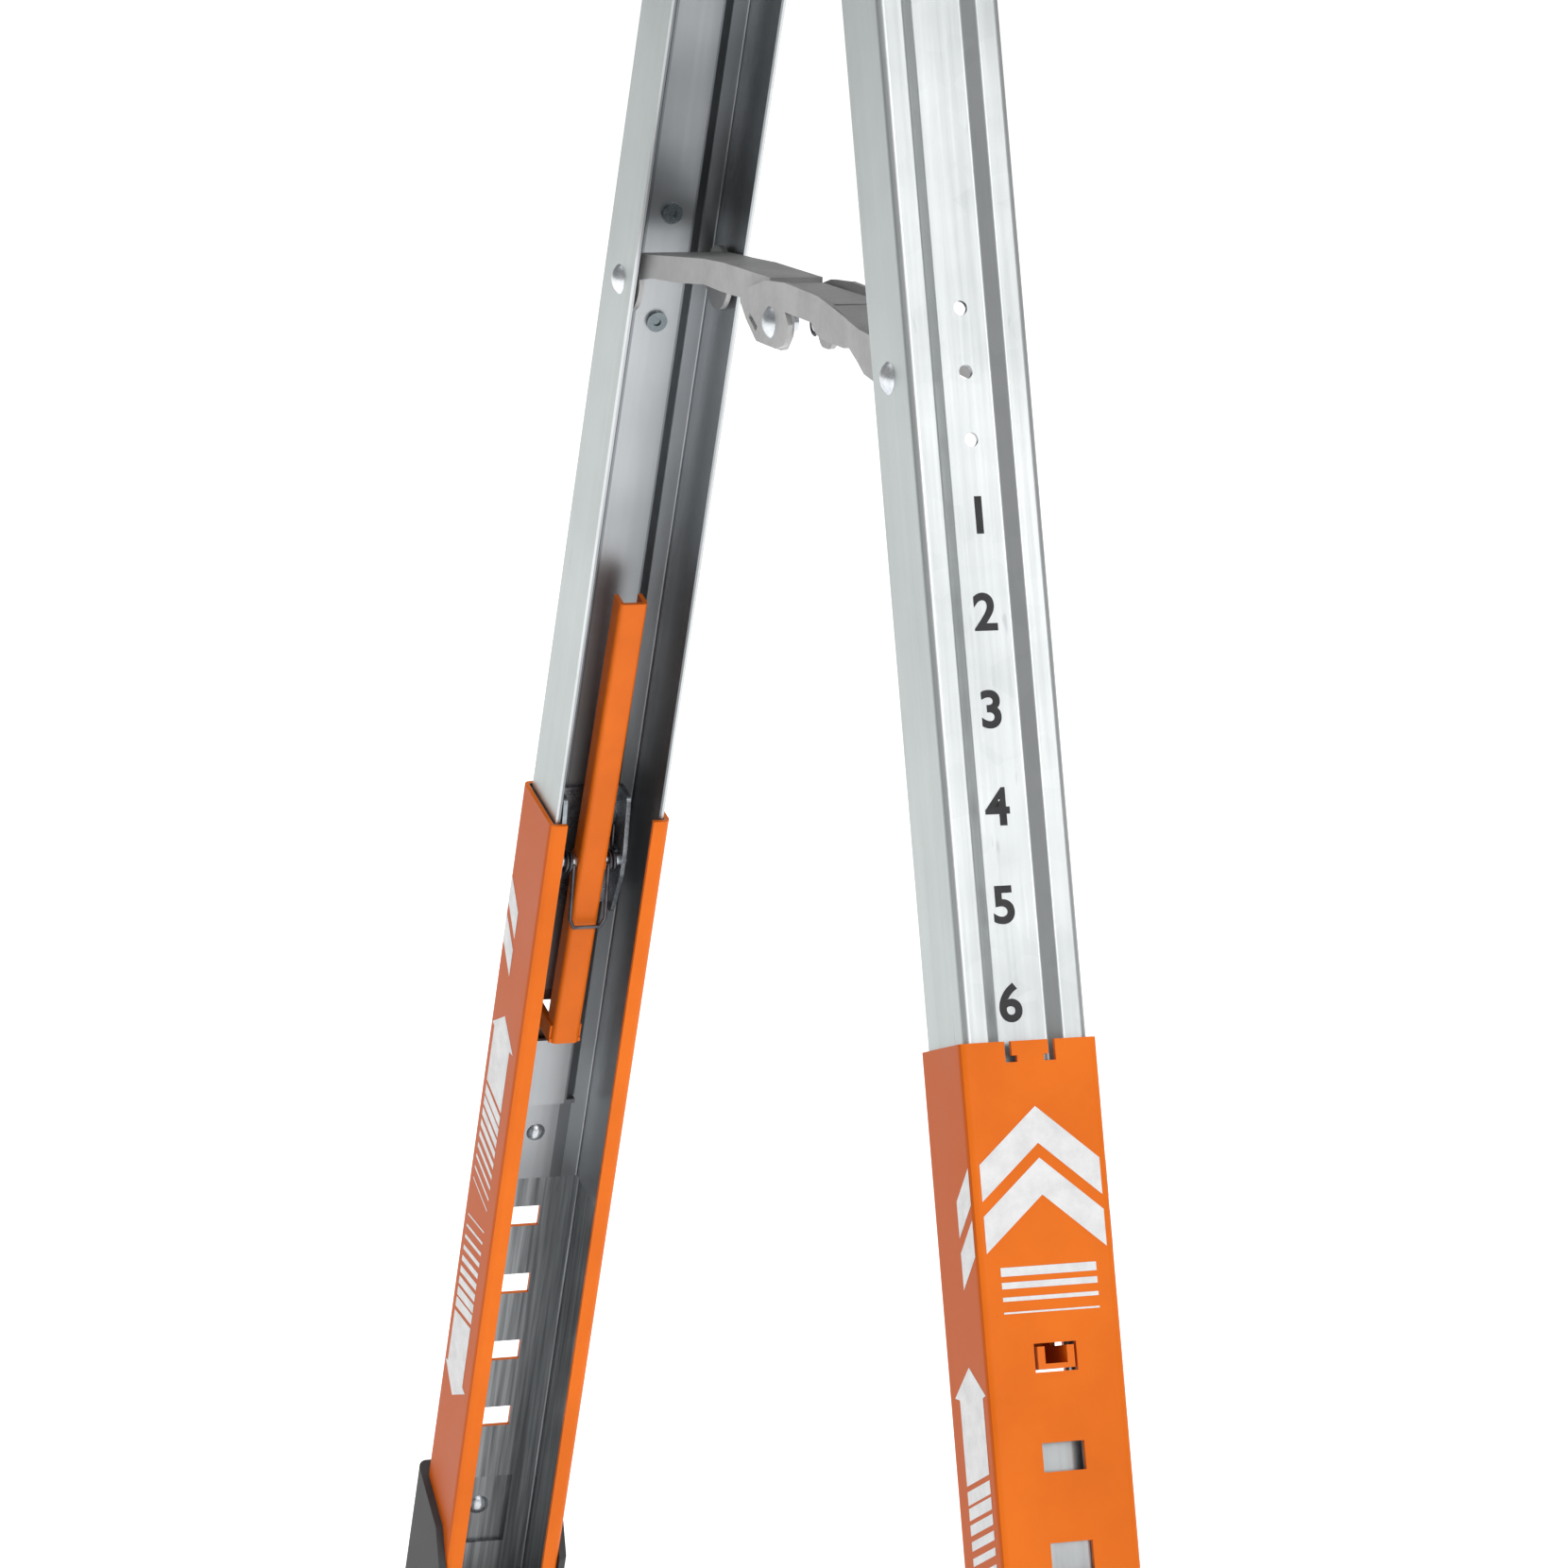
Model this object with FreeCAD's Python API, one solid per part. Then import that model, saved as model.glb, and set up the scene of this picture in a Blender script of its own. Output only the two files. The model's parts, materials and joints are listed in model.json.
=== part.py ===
"""Folding sawhorse: a steel beam on two pairs of telescoping channel legs.

World frame: X along the beam, Y across it, Z up, origin on the floor under the middle.
Leg frame:   X along the beam, Y out of the leg's web, Z up the leg.  The web's outer face
             is Y = 0 and the channel opens towards -Y.  Heights down the leg are written
             as "s" (Z = -s) from the level of the brace, depths into it as "h" (Y = -h).
Pair frame:  one end's two legs, mirror plane Y = 0, brace level Z = 0.
"""
import FreeCAD, Part
import os
from math import sin, cos, tan, radians, degrees, atan2, hypot

V = FreeCAD.Vector
X_AXIS, Y_AXIS, Z_AXIS = V(1, 0, 0), V(0, 1, 0), V(0, 0, 1)

# ---------------------------------------------------------------- driving dimensions, mm
HEIGHT = 914.0              # top of the beam above the floor
SPREAD = 18.03              # each leg's lean across the beam, degrees
TILT = 1.9                  # each pair's lean outwards along the beam, degrees
STEP = 26.8                 # one height position, along the leg
POSITIONS = 7

LEG_W, LEG_F, LEG_T, LEG_R = 36.4, 26.15, 1.5, 2.0      # inner channel leg
RIB_IN, RIB_FLOOR, RIB_TOP = 3.0, 7.35, 10.9            # pressed rib: depth, half widths
RIB_END, LEG_END = 303.0, 335.0
LEG_TOP_ABOVE_PIVOT = 9.0
PIVOT_H = 15.13             # depth of both of a leg's pivots inside its web
WEB_OUT = 125.3             # web's outer face from the pair's middle, at brace level
PIVOT_Y = 14.0              # a leg's top pivot from the pair's middle
WEB_HOLES = (-17.1, 0.7, 19.5)
WEB_HOLE_R = 2.0
STOP_S = 317.0              # stop rivet near the leg's lower end

GAP_WEB, GAP_SIDE = 0.35, 0.5                           # sleeve round the leg
SLV_T, SLV_R, SLV_LIP = 1.5, 2.3, 5.7
SLV_TOP, SLV_END = 185.1, 513.0
SLOT_TOP, SLOT_H, SLOT_HALF = 266.9, 7.8, 6.2
POCKET_TOP, POCKET_END, POCKET_HALF, POCKET_OUT = 455.0, 485.0, 11.5, 1.5
FOOT_RIVET_S = 469.0
BOOT_TOP, BOOT_WEB_T, BOOT_SIDE_T, BOOT_LIP = 449.0, 4.0, 2.5, 0.4
BOOT_ROOM = 60.0            # rubber below the sleeve before it is cut level

LATCH_PIN_S, LATCH_PIN_H, LATCH_PIN_R = 206.8, 13.2, 2.0
LEVER_TOP_S, LEVER_TOP_H = 110.0, 21.0
LEVER_END_S, LEVER_END_H = 274.2, 16.0
LEVER_HALF, LEVER_T, LEVER_FLANGE = 4.65, 1.4, 6.9
EAR_IN, EAR_T = 10.0, 1.4

BRACE_RISE = 1.0            # knuckle above the line of its two leg pivots
BRACE_T = 1.6
EAR_R = 9.8                 # links' round ears on the leg rivets
PLATE_END = 8.0             # inner link's top plate stops this short of the knuckle
TONGUE = 44.0               # and its tongue runs this far past it
STUD_IN = 3.0               # inner ends of the knuckle studs, from the middle
OUTER_LANE = (9.5, 11.1)    # outer link's walls at the knuckle, from the middle
INNER_LANE = (6.6, 8.2)

AXIS_Z = 862.0              # fold axes, inside the beam
AXIS_X = {"front": 505.0, "rear": 455.0}
AXIS_SETBACK = {"front": 0.0, "rear": 50.0}             # legs' plane outside the axis
AXIS_TO_PIVOT = 63.0

BEAM_L, BEAM_W, BEAM_H, BEAM_T, BEAM_R = 1066.0, 96.0, 75.0, 2.0, 4.0
CHEEK_OUT, CHEEK_T = 43.5, 2.5
GROOVE_Z, GROOVE_HALF, GROOVE_IN, GROOVE_L = 893.0, 7.0, 2.0, 980.0
TOP_HOLES_X, TOP_HOLE_Y, TOP_HOLE_R = (-400.0, -200.0, 0.0, 200.0, 400.0), 30.0, 3.25
YOKE_IN, YOKE_T = 19.2, 2.0
FOLD_PIN_R, LEG_BOLT_R, BRACE_RIVET_R = 5.0, 4.0, 3.0
LOCK_X, LOCK_Z = -9.0, -14.0                            # lock pin from the fold axis
RUN = 0.08                  # radial clearance of a turning fit

# ---------------------------------------------------------------- worked out from them
LEAN = radians(SPREAD)
PIVOT_S = (PIVOT_Y - WEB_OUT + PIVOT_H * cos(LEAN)) / sin(LEAN)
LEG_TOP = PIVOT_S - LEG_TOP_ABOVE_PIVOT
PIVOT_Z = -PIVOT_S * cos(LEAN) - PIVOT_H * sin(LEAN)
BRACE_Y = WEB_OUT - PIVOT_H * cos(LEAN)
BRACE_Z = -PIVOT_H * sin(LEAN)
BRACE_L = hypot(BRACE_Y, BRACE_RISE)
BRACE_REST = degrees(atan2(BRACE_RISE, BRACE_Y))
AXIS_LOCAL_Z = PIVOT_Z + AXIS_TO_PIVOT
SLV_HALF = LEG_W / 2 + GAP_SIDE + SLV_T
SLV_WEB = GAP_WEB + SLV_T                               # sleeve's outer face, from the leg's
SLV_FRONT = LEG_F + GAP_WEB + SLV_T
NOSE_OUT = SLV_WEB + 0.3
FOLD = 90.0 + TILT
BEAM_BOTTOM = HEIGHT - BEAM_H
FOLD_X = {"front": AXIS_X["front"], "rear": -AXIS_X["rear"]}


# ---------------------------------------------------------------- shape helpers
def face(points):
    """Flat face in XY from corners (x, y) or (x, y, radius)."""
    ring = [(V(p[0], p[1], 0), p[2] if len(p) > 2 else 0.0) for p in points]
    edges, starts = [], []
    for i, (corner, radius) in enumerate(ring):
        before, after = ring[i - 1][0] - corner, ring[(i + 1) % len(ring)][0] - corner
        before.normalize()
        after.normalize()
        if radius:
            half = before.getAngle(after) / 2
            bisector = before + after
            bisector.normalize()
            first, end = corner + before * (radius / tan(half)), corner + after * (radius / tan(half))
            middle = corner + bisector * (radius / sin(half) - radius)
            starts.append((first, middle, end))
        else:
            starts.append((corner, None, corner))
    for i, (first, middle, end) in enumerate(starts):
        if middle is not None:
            edges.append(Part.Arc(first, middle, end).toShape())
        following = starts[(i + 1) % len(starts)][0]
        if end.distanceToPoint(following) > 1e-6:
            edges.append(Part.LineSegment(end, following).toShape())
    return Part.Face(Part.Wire(Part.__sortEdges__(edges)))


def upright(points, low, high):
    """Prism of an XY outline from Z = low to Z = high."""
    solid = face(points).extrude(V(0, 0, high - low))
    solid.translate(V(0, 0, low))
    return solid


def sideways(points, low, high):
    """Prism of a YZ outline, corners (y, z), from X = low to X = high."""
    solid = face(points).extrude(V(0, 0, high - low))
    solid.rotate(V(0, 0, 0), V(1, 1, 1), 120)
    solid.translate(V(low, 0, 0))
    return solid


def box(x0, x1, y0, y1, z0, z1):
    return Part.makeBox(x1 - x0, y1 - y0, z1 - z0, V(x0, y0, z0))


def leg_box(half, h0, h1, s0, s1):
    """Box in the leg frame, centred on the web, from depths h and heights s."""
    return box(-half, half, -h1, -h0, -s1, -s0)


def rod_x(x0, x1, y, z, radius):
    return Part.makeCylinder(radius, x1 - x0, V(x0, y, z), X_AXIS)


def rod_y(x, y0, y1, z, radius):
    return Part.makeCylinder(radius, y1 - y0, V(x, y0, z), Y_AXIS)


def dome(base, axis, radius, height):
    """Rivet or pin head: a low rounded cap standing on base."""
    sphere_r = (radius * radius + height * height) / (2 * height)
    ball = Part.makeSphere(sphere_r, base - axis * (sphere_r - height))
    keep = Part.makeCylinder(radius + 0.01, height + 1.0, base, axis)
    return ball.common(keep)


def hexagon(across_flats, height, base, axis):
    """Hexagonal bolt head or nut standing on base along an X direction."""
    corner = across_flats / 2 / cos(radians(30))
    ring = [V(0, corner * cos(radians(a)), corner * sin(radians(a))) for a in range(0, 361, 60)]
    head = Part.Face(Part.makePolygon(ring)).extrude(axis * height)
    head.translate(base)
    return head


def wire_rod(points, radius):
    """Round wire along straight stretches, with ball corners."""
    solid = Part.makeSphere(radius, points[0])
    for start, end in zip(points, points[1:]):
        along = end - start
        solid = solid.fuse([Part.makeCylinder(radius, along.Length, start, along),
                            Part.makeSphere(radius, end)])
    return solid


def coil_x(x0, x1, y, z, radius, wire_r, turns):
    """Helical coil round an axis parallel to X."""
    helix = Part.makeHelix((x1 - x0) / turns, x1 - x0, radius)
    section = Part.Wire(Part.makeCircle(wire_r, V(radius, 0, 0), Y_AXIS))
    solid = Part.Wire(helix.Edges).makePipeShell([section], True, True)
    solid.rotate(V(0, 0, 0), Y_AXIS, 90)
    solid.translate(V(x0, y, z))
    return solid


def mirrored_x(shape):
    return shape.mirror(V(0, 0, 0), X_AXIS)


def joined(first, *others):
    return first.fuse(list(others)).removeSplitter()


# ---------------------------------------------------------------- placing
def end_placement(end):
    """Pair frame to world."""
    lean = FreeCAD.Rotation(Y_AXIS, -TILT)
    axis_point = lean.multVec(V(-AXIS_SETBACK[end], 0, AXIS_LOCAL_Z))
    stand = FreeCAD.Placement(V(AXIS_X[end], 0, AXIS_Z) - axis_point, lean)
    if end == "rear":
        return FreeCAD.Placement(V(0, 0, 0), FreeCAD.Rotation(Z_AXIS, 180)).multiply(stand)
    return stand


def side_placement(kind):
    """The "inner" side of a pair is the "outer" side turned half round."""
    return FreeCAD.Placement(V(0, 0, 0), FreeCAD.Rotation(Z_AXIS, 180 if kind == "inner" else 0))


LEG_PLACEMENT = FreeCAD.Placement(V(0, WEB_OUT, 0), FreeCAD.Rotation(X_AXIS, SPREAD))
LINK_PLACEMENT = FreeCAD.Placement(V(0, BRACE_Y, BRACE_Z), FreeCAD.Rotation(X_AXIS, -BRACE_REST))


def export(name, solids, placement):
    shape = solids[0] if len(solids) == 1 else Part.makeCompound(solids)
    shape = shape.copy()
    shape.Placement = placement.multiply(shape.Placement)
    shape.exportStep("parts/%s.step" % name)


# ---------------------------------------------------------------- legs
def leg_profile(ribbed):
    half, slope = LEG_W / 2, atan2(RIB_IN, RIB_TOP - RIB_FLOOR)
    shift = LEG_T * tan(slope / 2)
    outer = [(half, -LEG_F), (half, 0, LEG_R)]
    inner = [(half - LEG_T, -LEG_T, 0.6), (half - LEG_T, -LEG_F)]
    if ribbed:
        outer += [(RIB_TOP, 0, 1.2), (RIB_FLOOR, -RIB_IN, 1.2)]
        inner = [(RIB_FLOOR + shift, -RIB_IN - LEG_T, 0.6), (RIB_TOP + shift, -LEG_T, 0.6)] + inner
    mirror = [(-p[0],) + p[1:] for p in reversed(outer)]
    mirror_inner = [(-p[0],) + p[1:] for p in reversed(inner)]
    return outer + mirror + mirror_inner + inner


def leg_channel():
    leg = upright(leg_profile(True), -RIB_END, -LEG_TOP)
    tail = upright(leg_profile(False), -LEG_END, -RIB_END)
    rib_end = leg_box(RIB_TOP, 0, RIB_IN + LEG_T, RIB_END, RIB_END + LEG_T)
    leg = joined(leg, tail, rib_end)
    cuts = [leg_box(LEVER_HALF + 1.6, -1, 9, SLOT_TOP - 7, SLOT_TOP + SLOT_H + 5)]
    cuts += [rod_y(0, -9, 1, -s, WEB_HOLE_R) for s in WEB_HOLES]
    cuts.append(rod_y(0, -9, 1, -STOP_S, WEB_HOLE_R))
    cuts.append(rod_x(-30, 30, -PIVOT_H, -PIVOT_S, LEG_BOLT_R + RUN))
    cuts.append(rod_x(-30, 30, -PIVOT_H, 0, BRACE_RIVET_R))
    # rounded upper corners of both flanges
    corner = 8.0
    block = box(-30, 30, -LEG_F - 1, -LEG_F + corner, -LEG_TOP - corner, -LEG_TOP + 1)
    cuts.append(block.cut(rod_x(-30, 30, -LEG_F + corner, -LEG_TOP - corner, corner)))
    return leg.cut(cuts)


def leg_rivets(kind):
    """Brace pivot rivets in both flanges, the stop rivet, and the inner side's web rivets."""
    half = LEG_W / 2
    rivets = []
    for side in (1, -1):
        shank_in = half - LEG_T - 3.4
        shank = rod_x(shank_in, half, -PIVOT_H, 0, BRACE_RIVET_R)
        head = dome(V(half, -PIVOT_H, 0), X_AXIS, 4.6, 2.2)
        rivet = shank.fuse(head)
        rivets.append(rivet if side > 0 else mirrored_x(rivet))
    floor = RIB_IN + LEG_T
    if kind == "inner":
        for s in (WEB_HOLES[0], WEB_HOLES[2]):
            body = rod_y(0, -floor, -RIB_IN, -s, WEB_HOLE_R)
            tail = Part.makeCylinder(3.3, 1.2, V(0, -floor, -s), -Y_AXIS)
            ring = Part.makeCylinder(1.3, 1.0, V(0, -floor - 0.5, -s), -Y_AXIS)
            outside = dome(V(0, -RIB_IN, -s), Y_AXIS, 3.6, 1.5)
            rivets.append(body.fuse([tail.cut(ring), outside]))
    stop = rod_y(0, -LEG_T, 0, -STOP_S, WEB_HOLE_R)
    rivets.append(stop.fuse(dome(V(0, -LEG_T, -STOP_S), -Y_AXIS, 3.2, 1.8)))
    return rivets


# ---------------------------------------------------------------- latch
def latch_bracket():
    floor = RIB_IN + LEG_T
    low, high = LATCH_PIN_S - 23.0, LATCH_PIN_S + 20.0
    base = leg_box(EAR_IN + EAR_T, floor, floor + EAR_T, low, high)
    outline = [(-floor, -low), (-13.5, -low, 2.0), (-16.8, -LATCH_PIN_S + 4, 3.0),
               (-16.8, -LATCH_PIN_S - 4, 3.0), (-13.1, -high, 2.0), (-floor, -high)]
    ear = sideways(outline, EAR_IN, EAR_IN + EAR_T)
    window = leg_box(LEVER_HALF + 1, floor - 1, floor + 3, LATCH_PIN_S - 8, LATCH_PIN_S + 8)
    hole = rod_x(-20, 20, -LATCH_PIN_H, -LATCH_PIN_S, LATCH_PIN_R + 0.02)
    return joined(base, ear, mirrored_x(ear)).cut([window, hole])


def latch_pin():
    end = EAR_IN + EAR_T
    shank = rod_x(-end, end + 0.8, -LATCH_PIN_H, -LATCH_PIN_S, LATCH_PIN_R)
    head = rod_x(-end - 3.2, -end, -LATCH_PIN_H, -LATCH_PIN_S, 3.2)
    head = head.makeChamfer(0.8, [e for e in head.Edges if abs(e.CenterOfMass.x + end + 3.2) < 0.01])
    return shank.fuse([head])


def latch_lever():
    """U-shaped lever with its nose reaching through the leg into the sleeve's slot."""
    drop, length = LEVER_TOP_H - LEVER_END_H, LEVER_END_S - LEVER_TOP_S
    half = LEVER_HALF
    section = [(-half, -LEVER_FLANGE), (-half, 0, 1.6), (half, 0, 1.6), (half, -LEVER_FLANGE),
               (half - LEVER_T, -LEVER_FLANGE), (half - LEVER_T, -LEVER_T, 0.4),
               (-half + LEVER_T, -LEVER_T, 0.4), (-half + LEVER_T, -LEVER_FLANGE)]
    bar = upright([(x, -y) + tuple(r) for x, y, *r in reversed(section)], -length, 0)
    bar.rotate(V(0, 0, 0), X_AXIS, degrees(atan2(drop, length)))
    bar.translate(V(0, -LEVER_TOP_H, -LEVER_TOP_S))
    low, high = SLOT_TOP + 0.9, SLOT_TOP + SLOT_H - 0.8
    wall = box(half - LEVER_T, half + 0.7, -LEVER_END_H + 1.5, NOSE_OUT, -high, -low)
    floor = box(-half - 0.7, half + 0.7, -LEVER_END_H + 1.0, NOSE_OUT, -high, -high + LEVER_T)
    lever = joined(bar, wall, mirrored_x(wall), floor)
    below = box(-20, 20, -LEVER_TOP_H - 5, 5, -LEVER_END_S - 20, -high)
    hole = rod_x(-20, 20, -LATCH_PIN_H, -LATCH_PIN_S, LATCH_PIN_R + RUN)
    # the flanges swell round the pin
    boss = rod_x(half - LEVER_T, half, -LATCH_PIN_H, -LATCH_PIN_S, 4.0)
    return joined(lever, boss, mirrored_x(boss)).cut([below, hole])


def latch_spring():
    """Double torsion spring: coils on the pin, a bridge across the lever, two short tails."""
    wire, mean = 0.6, 3.0
    y, z = -LATCH_PIN_H, -LATCH_PIN_S
    coil = coil_x(LEVER_HALF + 1.2, EAR_IN - 0.9, y, z, mean, wire, 2.5)
    out = LEVER_HALF + 1.3
    bridge_y = -LEVER_TOP_H + 1.4
    bridge = wire_rod([V(out, y - mean, z), V(out, bridge_y, z - 18), V(out - 1.5, bridge_y - 0.2, z - 21),
                       V(-out + 1.5, bridge_y - 0.2, z - 21), V(-out, bridge_y, z - 18),
                       V(-out, y - mean, z)], wire)
    tail = wire_rod([V(EAR_IN - 1.2, y + mean, z), V(EAR_IN - 1.2, y + mean + 1.6, z + 10)], wire)
    return bridge.fuse([coil, mirrored_x(coil), tail, mirrored_x(tail)])


# ---------------------------------------------------------------- sleeve and foot
def sleeve():
    half, inner = SLV_HALF, SLV_HALF - SLV_T
    outline = [(half, SLV_WEB, SLV_R), (half, -SLV_FRONT, SLV_R), (half - SLV_LIP, -SLV_FRONT),
               (half - SLV_LIP, -SLV_FRONT + SLV_T), (inner, -SLV_FRONT + SLV_T, 0.8),
               (inner, GAP_WEB, 0.8)]
    body = upright(outline + [(-p[0],) + p[1:] for p in reversed(outline)], -SLV_END, -SLV_TOP)
    pad = upright([(-POCKET_HALF, SLV_WEB - 0.5), (-POCKET_HALF + 1.2, SLV_WEB + POCKET_OUT),
                   (POCKET_HALF - 1.2, SLV_WEB + POCKET_OUT), (POCKET_HALF, SLV_WEB - 0.5)],
                  -POCKET_END, -POCKET_TOP)
    hollow = upright([(-POCKET_HALF + 1.3, GAP_WEB - 1), (-POCKET_HALF + 1.3, GAP_WEB),
                      (-POCKET_HALF + 2.5, GAP_WEB + POCKET_OUT), (POCKET_HALF - 2.5, GAP_WEB + POCKET_OUT),
                      (POCKET_HALF - 1.3, GAP_WEB), (POCKET_HALF - 1.3, GAP_WEB - 1)],
                     -POCKET_END + 1.4, -POCKET_TOP - 1.4)
    cuts = [leg_box(SLOT_HALF, -5, 3, SLOT_TOP + k * STEP, SLOT_TOP + k * STEP + SLOT_H)
            for k in range(POSITIONS)]
    cuts.append(rod_y(0, -5, 8, -FOOT_RIVET_S, 2.0))
    for side in (1, -1):                                # L-shaped notches in the upper rim
        deep = box(5.4, 7.4, -1, 4, -SLV_TOP - 5.7, -SLV_TOP + 1)
        hook = box(3.9, 5.4, -1, 4, -SLV_TOP - 5.7, -SLV_TOP - 3.9)
        notch = deep.fuse(hook)
        cuts.append(notch if side > 0 else mirrored_x(notch))
    return joined(body, pad).cut([hollow] + cuts)


def boot():
    """Rubber foot: a shoe round the sleeve's end on a sole cut level with the floor."""
    half, web, front = SLV_HALF + BOOT_SIDE_T, SLV_WEB + BOOT_WEB_T, SLV_FRONT + BOOT_LIP
    block = upright([(half, web, 3.0), (half, -front, 1.0), (-half, -front, 1.0), (-half, web, 3.0)],
                    -SLV_END - BOOT_ROOM, -BOOT_TOP)
    well = upright([(SLV_HALF, SLV_WEB, SLV_R), (SLV_HALF, -SLV_FRONT - 5), (-SLV_HALF, -SLV_FRONT - 5),
                    (-SLV_HALF, SLV_WEB, SLV_R)], -SLV_END, -BOOT_TOP + 5)
    shoe = block.cut(well)
    # upper edge falls away towards the open side, and its corner is cut back
    slope = [(web + 1, -BOOT_TOP + 1), (web + 1, -BOOT_TOP - 2), (-front + 9, -BOOT_TOP - 12),
             (-front - 1, -BOOT_TOP - 25), (-front - 1, -BOOT_TOP + 1)]
    pocket = box(-POCKET_HALF - 0.1, POCKET_HALF + 0.1, 0, SLV_WEB + POCKET_OUT,
                 -POCKET_END - 0.1, -POCKET_TOP + 0.1)
    hole = rod_y(0, -5, 12, -FOOT_RIVET_S, 2.0)
    groove = [box(-half - 1, half + 1, web - 1.2, web + 1, -z - 2.4, -z) for z in
              (SLV_END - 8, SLV_END - 2, SLV_END + 4)]
    return shoe.cut([sideways(slope, -half - 1, half + 1), pocket, hole] + groove)


def trim_to_floor(boot_shape, placement):
    """Cut the sole level with the floor, in the leg frame of the given placement."""
    ground = box(-1500, 1500, -1500, 1500, -400, 0)
    ground.Placement = placement.inverse().multiply(ground.Placement)
    return boot_shape.cut(ground)


def foot_rivet():
    out = SLV_WEB + BOOT_WEB_T
    inner = GAP_WEB + POCKET_OUT
    shank = rod_y(0, inner, out, -FOOT_RIVET_S, 2.0)
    return shank.fuse([dome(V(0, out, -FOOT_RIVET_S), Y_AXIS, 4.2, 1.8),
                       dome(V(0, inner, -FOOT_RIVET_S), -Y_AXIS, 3.6, 1.6)])


# ---------------------------------------------------------------- brace
def strip(stations):
    """Ruled bar through stations (along, x0, x1, v0, v1), running along -Y."""
    rings = [Part.makePolygon([V(x0, -u, v0), V(x1, -u, v0), V(x1, -u, v1), V(x0, -u, v1), V(x0, -u, v0)])
             for u, x0, x1, v0, v1 in stations]
    bars = [Part.makeLoft([a, b], True, True) for a, b in zip(rings, rings[1:])]
    return bars[0].fuse(bars[1:]) if len(bars) > 1 else bars[0]


def leg_ear(width):
    """Round ear on the leg's rivet, run into the link's wall."""
    ear = rod_x(width - BRACE_T, width, 0, 0, EAR_R)
    neck = sideways([(5.5, 0), (5.5, 7.0, 2.5), (-9, 8.4), (-9, -2.5)], width - BRACE_T, width)
    return ear.fuse(neck)


def outer_link():
    """Fork of the brace: two walls outside the inner link's, joined by a plate near the leg."""
    wide, lane = 15.2, OUTER_LANE[1]
    # (along, half width, lower edge, upper edge): swept up from the ear, then a shallow lobe
    walls = [(4, wide, -2.8, 8.4), (18, wide, -3.6, 8.6), (27, 14.6, -2.9, 8.75), (33, 14.2, -0.5, 8.85),
             (42, 13.5, 2.4, 9.7), (47, 13.0, 1.5, 10.3), (66, 11.7, 1.0, 12.1), (73, 11.2, 1.6, 12.7),
             (78, lane, 4.5, 12.8), (BRACE_L - 10, lane, 4.6, 13.0)]
    side = strip([(u, w - BRACE_T, w, low, high) for u, w, low, high in walls])
    plan = [(4, wide, 8.4), (18, wide, 8.6), (36, 14.0, 8.9), (52, 12.6, 11.0)]
    step_u, edge = BRACE_L - TONGUE - 6, lane + 0.2
    plate = [(u, -w + 0.4, w - 0.4, high - BRACE_T, high) for u, w, high in plan]
    plate += [(step_u, -edge, edge, 11.7 - BRACE_T, 11.7)]
    # joggled down to carry the inner link's tongue
    joggle = [(step_u, -edge, edge, 11.7 - BRACE_T, 11.7), (step_u + 4, -edge, edge, 6.9, 8.5),
              (step_u + 9, -lane + 0.4, lane - 0.4, 6.9, 8.5)]
    k = -BRACE_L
    lug = sideways([(k - 25.6, 3.4, 1.5), (k - 22.0, 6.6, 2.0), (k - 5.0, 11.6, 6.0), (k + 12.0, 13.0),
                    (k + 12.0, 4.6), (k + 15.0, 1.5, 1.0), (k + 12.6, -5.0, 4.0), (k + 6.0, -7.0, 4.0),
                    (k - 10.6, -7.0, 4.0), (k - 19.7, -1.6, 3.0)], OUTER_LANE[0], OUTER_LANE[1])
    half = joined(side, leg_ear(wide), lug)
    link = joined(half, mirrored_x(half), strip(plate), strip(joggle))
    holes = [rod_x(-20, 20, 0, 0, BRACE_RIVET_R + RUN), rod_x(-20, 20, k, 0, 3.0)]
    hook = sideways([(k - 16.5, 0.6), (k - 10.0, -2.6), (k - 10.9, -4.2), (k - 17.0, -1.0)],
                    OUTER_LANE[0] - 1, OUTER_LANE[1] + 1)
    return link.cut(holes + [hook])


def outer_link_heads():
    """Knuckle rivet heads, set in the fork's two walls."""
    head = rod_x(OUTER_LANE[0], OUTER_LANE[1], -BRACE_L, 0, 3.0)
    head = head.fuse(dome(V(OUTER_LANE[1], -BRACE_L, 0), X_AXIS, 4.6, 2.0))
    return [head, mirrored_x(head)]


def inner_link():
    """Inner channel of the brace, with a tongue run on past the knuckle as a stop."""
    wide, lane = 15.2, INNER_LANE[1]
    stations = [(4, wide, -1.6, 8.4), (9, wide, 0.6, 8.6), (16, 13.9, 2.0, 9.1), (33, 10.8, 2.4, 10.3),
                (47, lane, 3.6, 11.3), (64, lane, 3.2, 12.0), (BRACE_L - PLATE_END, lane, 3.6, 12.0)]
    side = strip([(u, w - BRACE_T, w, low, high) for u, w, low, high in stations])
    plate = strip([(u, -w + 0.4, w - 0.4, high - BRACE_T, high) for u, w, low, high in stations])
    tongue = box(-lane, lane, -BRACE_L - TONGUE, -BRACE_L + 20, 8.8, 10.4)
    k = -BRACE_L
    lug = sideways([(k - 8.4, 10.4), (k - 8.4, -3.0, 3.0), (k - 3.5, -8.0, 4.0), (k + 3.5, -8.0, 4.0),
                    (k + 9.0, -2.0, 3.0), (k + 16.0, 3.6), (k + 16.0, 12.0), (k + PLATE_END, 12.0),
                    (k + PLATE_END, 10.4)], INNER_LANE[0], INNER_LANE[1])
    half = joined(side, leg_ear(wide), lug)
    link = joined(half, mirrored_x(half), plate, tongue)
    holes = [rod_x(-20, 20, 0, 0, BRACE_RIVET_R + RUN), rod_x(-20, 20, k, 0, 3.0)]
    return link.cut(holes)


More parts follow.
